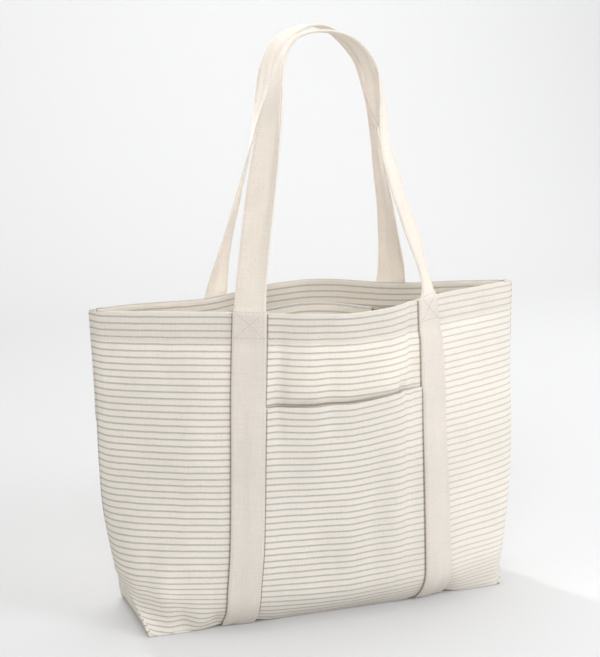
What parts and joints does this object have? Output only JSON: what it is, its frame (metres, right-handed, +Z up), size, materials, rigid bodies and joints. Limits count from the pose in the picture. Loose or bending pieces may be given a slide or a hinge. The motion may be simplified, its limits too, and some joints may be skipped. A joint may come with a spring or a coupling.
{
  "type": "canvas tote bag",
  "caption": "Open-topped striped canvas tote with boxed base, front patch pocket, inside slip pocket and two strap handles that swing on the rim.",
  "frame": {"origin": "on the floor, under the middle of the bag, in the plane of the two side seams", "axes": "+X along the width, to the right as seen from the front; +Y from the front to the back; +Z up"},
  "size_m": [0.492, 0.2224, 0.6268],
  "materials": {
    "striped_canvas": "matte plain weave, thin grey stripes",
    "strap_canvas": "matte plain weave",
    "binding_tape": "matte twill tape",
    "thread": "matte cotton thread"
  },
  "bodies": {
    "bag": {"front_panel": "striped_canvas", "back_panel": "striped_canvas", "front_pocket": "striped_canvas", "inner_pocket": "striped_canvas", "front_left_strap": "strap_canvas", "front_right_strap": "strap_canvas", "back_left_strap": "strap_canvas", "back_right_strap": "strap_canvas", "front_left_box_stitch": "thread", "front_right_box_stitch": "thread", "back_left_box_stitch": "thread", "back_right_box_stitch": "thread", "left_side_binding": "binding_tape", "right_side_binding": "binding_tape", "left_corner_binding": "binding_tape", "right_corner_binding": "binding_tape", "base_binding": "binding_tape"},
    "front_handle": {"front_handle": "strap_canvas"},
    "back_handle": {"back_handle": "strap_canvas"}
  },
  "joints": [
    {"name": "front_handle_swing", "type": "hinge", "parent": "bag", "child": "front_handle", "pos_m": [0, -0.0853, 0.3423], "axis": [1, 0, 0], "range_deg": [0, 175]},
    {"name": "back_handle_swing", "type": "hinge", "parent": "bag", "child": "back_handle", "pos_m": [0, 0.0601, 0.3423], "axis": [-1, 0, 0], "range_deg": [0, 160]}
  ]
}
